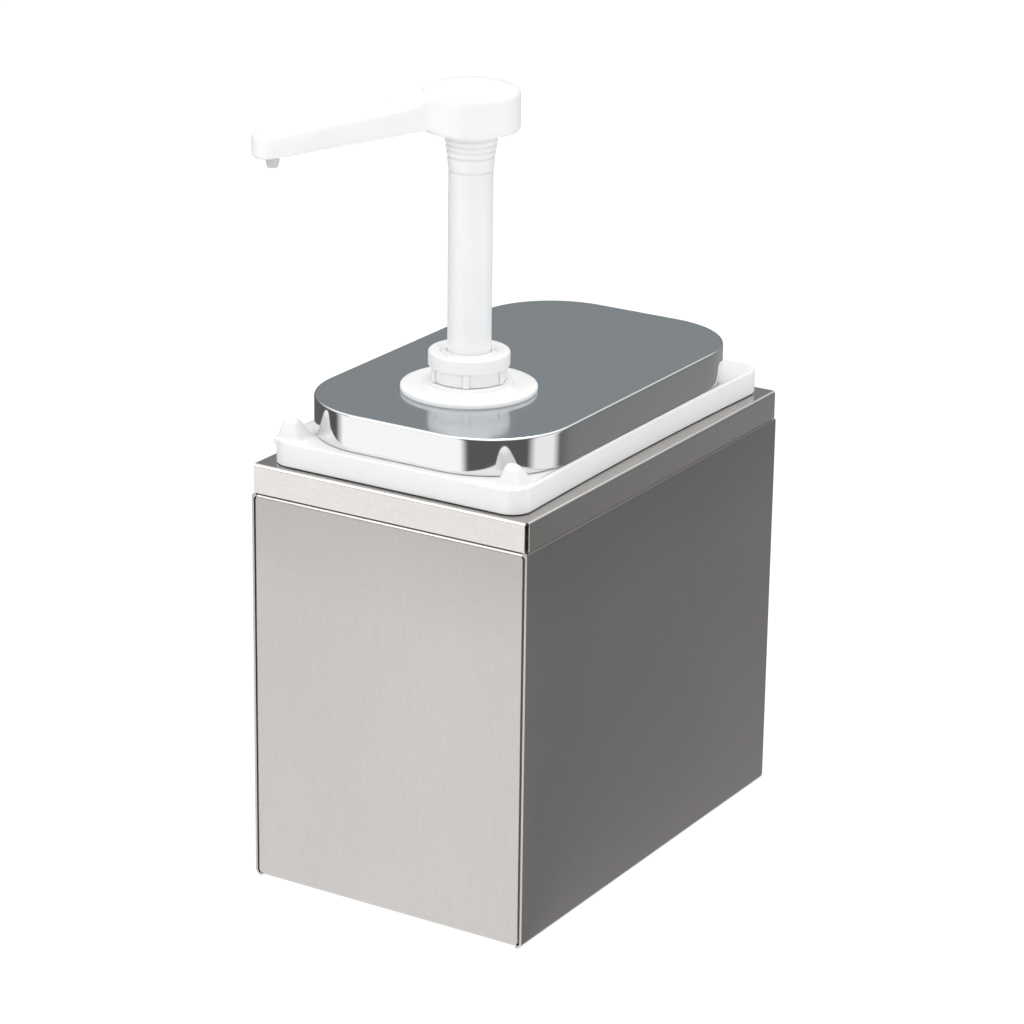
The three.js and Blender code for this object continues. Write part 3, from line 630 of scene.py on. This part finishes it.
turned("dip_tube_pipe", [
    (4.5, 16, 0), (6, 16, 0.3), (6, 93.7, 0.3), (4.5, 93.7, 0.3), (4.5, 17, 0),
], LID_BODY, "natural_plastic", NATURAL, "dip_tube", steps=64)

turned("shaft_tube", [
    (7.5, 209.3, 0), (9.6, 209.3, 0.3), (9.6, 320.95, 0.12), (7.5, 320.95, 0), (7.5, 210, 0),
], "spout", "pump_plastic", PUMP_WHITE, "shaft", steps=128)


def neck_radius(z):
    return NECK_LOW_R + (NECK_HIGH_R - NECK_LOW_R) * (z - NECK_Z0) / (NECK_Z1 - NECK_Z0)


groove_points = []
for z in (327.4, 330.2, 332.7, 335.4):
    floor_r = neck_radius(z) - 1.0
    groove_points += [(neck_radius(z - 0.8), z - 0.8, 0.3), (floor_r, z - 0.35, 0.2)]
    groove_points += [(floor_r, z + 0.35, 0.2), (neck_radius(z + 0.8), z + 0.8, 0.3)]
turned("neck_collar_ring", [
    (4.5, 309, 0), (7.2, 309, 0.5), (7.2, NECK_Z0, 0), (9.55, NECK_Z0, 0.15), *groove_points,
    (NECK_HIGH_R, NECK_Z1, 0.2), (8, NECK_Z1, 0), (8, 346, 0.3), (4.5, 346, 0), (4.5, 310, 0),
], "spout", "pump_plastic", PUMP_WHITE, "neck_collar", steps=128)


# ---------------------------------------------------------------- head
def arm_plan():
    """The arm from above, along +X, flared into the round cap at its root."""
    flare_y = ARM_HALF + ARM_FLARE
    flare_x = math.sqrt((CAP_R + ARM_FLARE) ** 2 - flare_y ** 2)
    start = math.degrees(math.atan2(-flare_y, -flare_x)) % 360
    side = [(p, -q) for p, q in arc(flare_x, flare_y, ARM_FLARE, start, 270, 8)]
    side += [(p, -ARM_HALF) for p in (25, 27, 29, 31, 33)]
    side.insert(0, (0.0, side[0][1]))
    tip = arc(ARM_REACH, 0, ARM_HALF, -90, 90, 24)
    return side + tip + [(p, -q) for p, q in side[::-1]]


def arm_bar():
    """The arm falls towards its tip, its upper edges rounded more and more, and its root rises to the cap."""
    plan = [Vector(p) for p in arm_plan()]
    outward = []
    for k, here in enumerate(plan):
        along = (plan[(k + 1) % len(plan)] - here).normalized() + (here - plan[k - 1]).normalized()
        outward.append(Vector((along.y, -along.x)).normalized())
    rings = []
    for turn in (-90, -70, -50, -30, -15, 0, 15, 30, 45, 60, 75, 90):
        c, s = math.cos(math.radians(turn)), math.sin(math.radians(turn))
        ring = []
        for p, out in zip(plan, outward):
            reach = min(max((p.x - 20) / 62, 0), 1)
            edge = 1.5 + 2.8 * reach if turn > 0 else 2.0 + 1.0 * reach
            x, y = p - out * edge * (1 - c)
            rise = 4.2 * (max(32 - x, 0) / 15) ** 2
            crown, sole = 355.8 - 0.1439 * x + rise, 343.4 - 0.1437 * x
            z = crown - edge * (1 - s) if turn > 0 else sole + edge * (1 + s)
            ring.append((x, y, min(z, 358)))
        rings.append(ring)
    verts, faces = stack(rings, capped=False)
    n = len(plan)
    for first in (0, len(verts) - n):
        for k in range((n - 1) // 2):
            faces.append(list(dict.fromkeys(first + i for i in (k, k + 1, n - 2 - k, n - 1 - k))))
    return verts, faces


dome = [(r, CAP_TOP - 3.0 * (r / 18) ** 2) for r in np.linspace(16.5, 0, 14)]
cap_line = softened([
    (0, CAP_BOTTOM, 0), (CAP_R, CAP_BOTTOM, 1.4), (CAP_R, CAP_SHOULDER, 3.4), dome[0] + (0,),
], 6)
cap = revolve(cap_line + dome[1:], 128, (0, 0))
bar = mesh_object("bar", arm_bar())
head = mesh_object("head_knob", cap)
join = bmesh.new()
join.from_mesh(head.data)
join.from_mesh(bar.data)
join.to_mesh(head.data)
join.free()
bpy.data.objects.remove(bar)
remesh = head.modifiers.new("remesh", "REMESH")
remesh.mode, remesh.voxel_size, remesh.use_smooth_shade = "VOXEL", 0.00055, True
smooth = head.modifiers.new("smooth", "SMOOTH")
smooth.factor, smooth.iterations = 0.5, 14
settle(head)
c, s = math.cos(math.radians(-90 - ARM_ANGLE)), math.sin(math.radians(-90 - ARM_ANGLE))
to_pump = Matrix(((c, -s, 0, PUMP_X * 0.001), (s, c, 0, PUMP_Y * 0.001), (0, 0, 1, 0), (0, 0, 0, 1)))
head.data.transform(to_pump)
tip_at = (PUMP_X + ARM_REACH * c, PUMP_Y + ARM_REACH * s)
combine(head, revolve([(0, 328), (3.1, 328), (3.1, 336), (0, 336)], 32, tip_at), "DIFFERENCE")
piece(head, "spout", "pump_plastic", PUMP_WHITE, "head", sharp=60)

# The tip takes the darker natural plastic; part of that darkness is painted shade under the arm.
tip = mesh_object("nozzle_tip_insert", revolve(softened([
    (1.3, 326, 0), (2.3, 326, 0.4), (2.95, 329, 0.8), (2.95, 331.2, 0.1), (2.4, 331.2, 0), (2.4, 333.9, 0.3),
    (1.3, 333.9, 0), (1.3, 327, 0),
]), 48, tip_at))
piece(tip, "spout", "natural_plastic", NATURAL, "nozzle_tip")

# ---------------------------------------------------------------- return spring
def coil(radius, wire, low, high, turns, steps=28):
    """A round wire wound upwards, its centre line from low to high."""
    rings = []
    for k in range(turns * steps + 1):
        a = 2 * math.pi * k / steps
        height = low + (high - low) * k / (turns * steps)
        rings.append([
            (PUMP_X + (radius + u) * math.cos(a), PUMP_Y + (radius + u) * math.sin(a), height + v)
            for u, v in arc(0, 0, wire / 2, 0, 324, 9)
        ])
    return stack(rings)


spring = mesh_object("return_spring_coil", coil(8.6, 1.3, 113.25, 199.05, 10))
piece(spring, LID_BODY, "spring_wire", WIRE_STEEL, "return_spring", sharp=60)
# Pressed right down, the piston leaves the spring 15 of its 87 mm.
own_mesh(spring)

# ---------------------------------------------------------------- hidden working parts keep their CAD meshes
for node, material in (
    ("lower_check_ball", BALL_STEEL), ("upper_check_ball", BALL_STEEL), ("ball_cage", PUMP_WHITE),
    ("piston", PUMP_WHITE), ("piston_seal", RUBBER), ("upper_valve_cap", PUMP_WHITE),
):
    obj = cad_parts[node]
    obj.data.materials.clear()
    obj.data.materials.append(material)


# ---------------------------------------------------------------- studio
def ramp(tree, source, stops):
    """A colour ramp; the stops are (position, brightness or colour)."""
    node = tree.nodes.new("ShaderNodeValToRGB")
    band = node.color_ramp
    band.elements[0].position, band.elements[1].position = stops[0][0], stops[-1][0]
    for position, _ in stops[1:-1]:
        band.elements.new(position)
    for element, (_, value) in zip(band.elements, stops):
        colour = value if isinstance(value, tuple) else (value,) * 3
        element.color = (*colour, 1.0)
    tree.links.new(source, node.inputs["Fac"])
    return node.outputs["Color"]


# (azimuth in degrees from straight ahead, brightness)
LEFT_SIDE = [(-180, 0.30), (-150, 0.14), (-64, 0.10), (-51, 1.15)]
RIGHT_SIDE = [
    (-8, 1.15), (2, 0.11), (82, 0.11), (94, 1.0), (121, 1.0), (133, 0.15), (148, 0.20), (160, 0.27),
    (180, 0.33),
]


def surround(tree, x, minus_y, stops):
    """How bright the studio is towards each side, for reflections: softboxes and the dark between them."""
    angle = tree.nodes.new("ShaderNodeMath")
    angle.operation = "ARCTAN2"
    tree.links.new(x, angle.inputs[0])
    tree.links.new(minus_y, angle.inputs[1])
    share = tree.nodes.new("ShaderNodeMapRange")
    share.inputs["From Min"].default_value = -math.pi
    share.inputs["From Max"].default_value = math.pi
    tree.links.new(angle.outputs[0], share.inputs["Value"])
    return ramp(tree, share.outputs[0], [((degrees + 180) / 360, value) for degrees, value in stops])


def minus(tree, socket):
    node = tree.nodes.new("ShaderNodeMath")
    node.operation = "MULTIPLY"
    node.inputs[1].default_value = -1.0
    tree.links.new(socket, node.inputs[0])
    return node.outputs[0]


def mixed(tree, factor, a, b):
    node = tree.nodes.new("ShaderNodeMixShader")
    tree.links.new(factor, node.inputs[0])
    tree.links.new(a, node.inputs[1])
    tree.links.new(b, node.inputs[2])
    return node.outputs[0]


def glow(tree, colour, strength=1.0, kind="ShaderNodeEmission"):
    node = tree.nodes.new(kind)
    if isinstance(colour, tuple):
        node.inputs["Color"].default_value = (*colour, 1.0)
    else:
        tree.links.new(colour, node.inputs["Color"])
    node.inputs["Strength"].default_value = strength
    return node.outputs[0]


world = bpy.data.worlds.new("studio")
scene.world = world
world.use_nodes = True
tree = world.node_tree
tree.nodes.clear()
coords = tree.nodes.new("ShaderNodeTexCoord")
split = tree.nodes.new("ShaderNodeSeparateXYZ")
tree.links.new(coords.outputs["Generated"], split.inputs[0])
sides = surround(tree, split.outputs["X"], minus(tree, split.outputs["Y"]), LEFT_SIDE + RIGHT_SIDE)
height = ramp(tree, split.outputs["Z"], [(0.0, 0.0), (0.12, 0.0), (0.24, 1.0), (1.0, 1.0)])
sky = [(0.0, (0.27, 0.29, 0.30)), (0.42, (0.33, 0.35, 0.36)), (0.62, 1.3), (1.0, 1.3)]
overhead = ramp(tree, split.outputs["Z"], sky)
blend_sky = tree.nodes.new("ShaderNodeMix")
blend_sky.data_type = "RGBA"
tree.links.new(height, blend_sky.inputs["Factor"])
tree.links.new(sides, blend_sky.inputs[6])
tree.links.new(overhead, blend_sky.inputs[7])
path = tree.nodes.new("ShaderNodeLightPath")
reflected = glow(tree, blend_sky.outputs[2], 1.0, "ShaderNodeBackground")
fill = glow(tree, (1.0, 1.0, 1.0), 0.66, "ShaderNodeBackground")
backdrop = glow(tree, (1.0, 1.0, 1.0), 1.0, "ShaderNodeBackground")
shader = mixed(tree, path.outputs["Is Glossy Ray"], fill, reflected)
shader = mixed(tree, path.outputs["Is Camera Ray"], shader, backdrop)
out = tree.nodes.new("ShaderNodeOutputWorld")
tree.links.new(shader, out.inputs["Surface"])

floor_mesh = bpy.data.meshes.new("floor")
floor_mesh.from_pydata([(-12, -12, 0), (12, -12, 0), (12, 12, 0), (-12, 12, 0)], [], [(0, 1, 2, 3)])
floor = bpy.data.objects.new("floor", floor_mesh)
floor.location.z = -0.0002
scene.collection.objects.link(floor)
pale = bpy.data.materials.new("pale_floor")
pale.use_nodes = True
tree = pale.node_tree
tree.nodes.clear()
coords = tree.nodes.new("ShaderNodeTexCoord")


def seen_from(x, y, stops):
    """The floor's painted glow around one corner of the housing, seen only in reflections: painted studio light
    and dark.
    """
    shift = tree.nodes.new("ShaderNodeMapping")
    shift.inputs["Location"].default_value = (-x, -y, 0.0)
    tree.links.new(coords.outputs["Object"], shift.inputs["Vector"])
    split = tree.nodes.new("ShaderNodeSeparateXYZ")
    tree.links.new(shift.outputs["Vector"], split.inputs[0])
    return surround(tree, split.outputs["X"], minus(tree, split.outputs["Y"]), stops)


darker = tree.nodes.new("ShaderNodeMix")
darker.data_type, darker.blend_type = "RGBA", "DARKEN"
darker.inputs["Factor"].default_value = 1.0
tree.links.new(seen_from(-0.07, -0.11, LEFT_SIDE + [(140, 1.15), (155, 0.40), (180, 0.30)]), darker.inputs[6])
tree.links.new(seen_from(0.07, -0.11, [(-180, 1.15)] + RIGHT_SIDE), darker.inputs[7])
sides = darker.outputs[2]
diffuse = tree.nodes.new("ShaderNodeBsdfDiffuse")
diffuse.inputs["Color"].default_value = (0.92, 0.92, 0.92, 1.0)
path = tree.nodes.new("ShaderNodeLightPath")
lit = tree.nodes.new("ShaderNodeMixShader")
lit.inputs[0].default_value = 0.88
tree.links.new(diffuse.outputs[0], lit.inputs[1])
tree.links.new(glow(tree, (1.0, 1.0, 1.0), 1.1), lit.inputs[2])
shader = mixed(tree, path.outputs["Is Camera Ray"], diffuse.outputs[0], lit.outputs[0])
# Reflections see the floor glow with the painted pattern of the studio's light and dark.
shader = mixed(tree, path.outputs["Is Glossy Ray"], shader, glow(tree, sides, 1.0))
out = tree.nodes.new("ShaderNodeOutputMaterial")
tree.links.new(shader, out.inputs["Surface"])
floor_mesh.materials.append(pale)


def softbox(name, place, target, size, power):
    data = bpy.data.lights.new(name, "AREA")
    data.shape, data.size, data.energy = "SQUARE", size, power
    obj = bpy.data.objects.new(name, data)
    obj.location = place
    obj.rotation_mode = "QUATERNION"
    obj.rotation_quaternion = (Vector(target) - Vector(place)).to_track_quat("-Z", "Y")
    scene.collection.objects.link(obj)
    return obj


softbox("key", (-0.9, -1.5, 1.7), (0, 0, 0.2), 1.2, 12.5)
softbox("top", (0.1, 0.2, 2.2), (0, 0, 0.2), 1.6, 22)
softbox("fill", (2.0, -0.8, 0.9), (0, -0.05, 0.25), 1.0, 8).visible_glossy = False

# ---------------------------------------------------------------- camera
AZIMUTH, ELEVATION, ROLL = map(math.radians, (31.5104, 19.5810, 0.78839))
level = math.cos(ELEVATION)
back = Vector((math.sin(AZIMUTH) * level, -math.cos(AZIMUTH) * level, math.sin(ELEVATION)))
right = Vector((math.cos(AZIMUTH), math.sin(AZIMUTH), 0))
up = back.cross(right)
tilted_right = math.cos(ROLL) * right + math.sin(ROLL) * up
tilted_up = -math.sin(ROLL) * right + math.cos(ROLL) * up
camera_data = bpy.data.cameras.new("camera")
camera_data.lens, camera_data.sensor_width = 130.77, 36.0
camera_data.clip_start, camera_data.clip_end = 0.05, 60.0
camera = bpy.data.objects.new("camera", camera_data)
scene.collection.objects.link(camera)
turn = Matrix((tilted_right, tilted_up, back)).transposed().to_4x4()
camera.matrix_world = Matrix.Translation((0.82085, -1.34709, 0.71513)) @ turn
scene.camera = camera
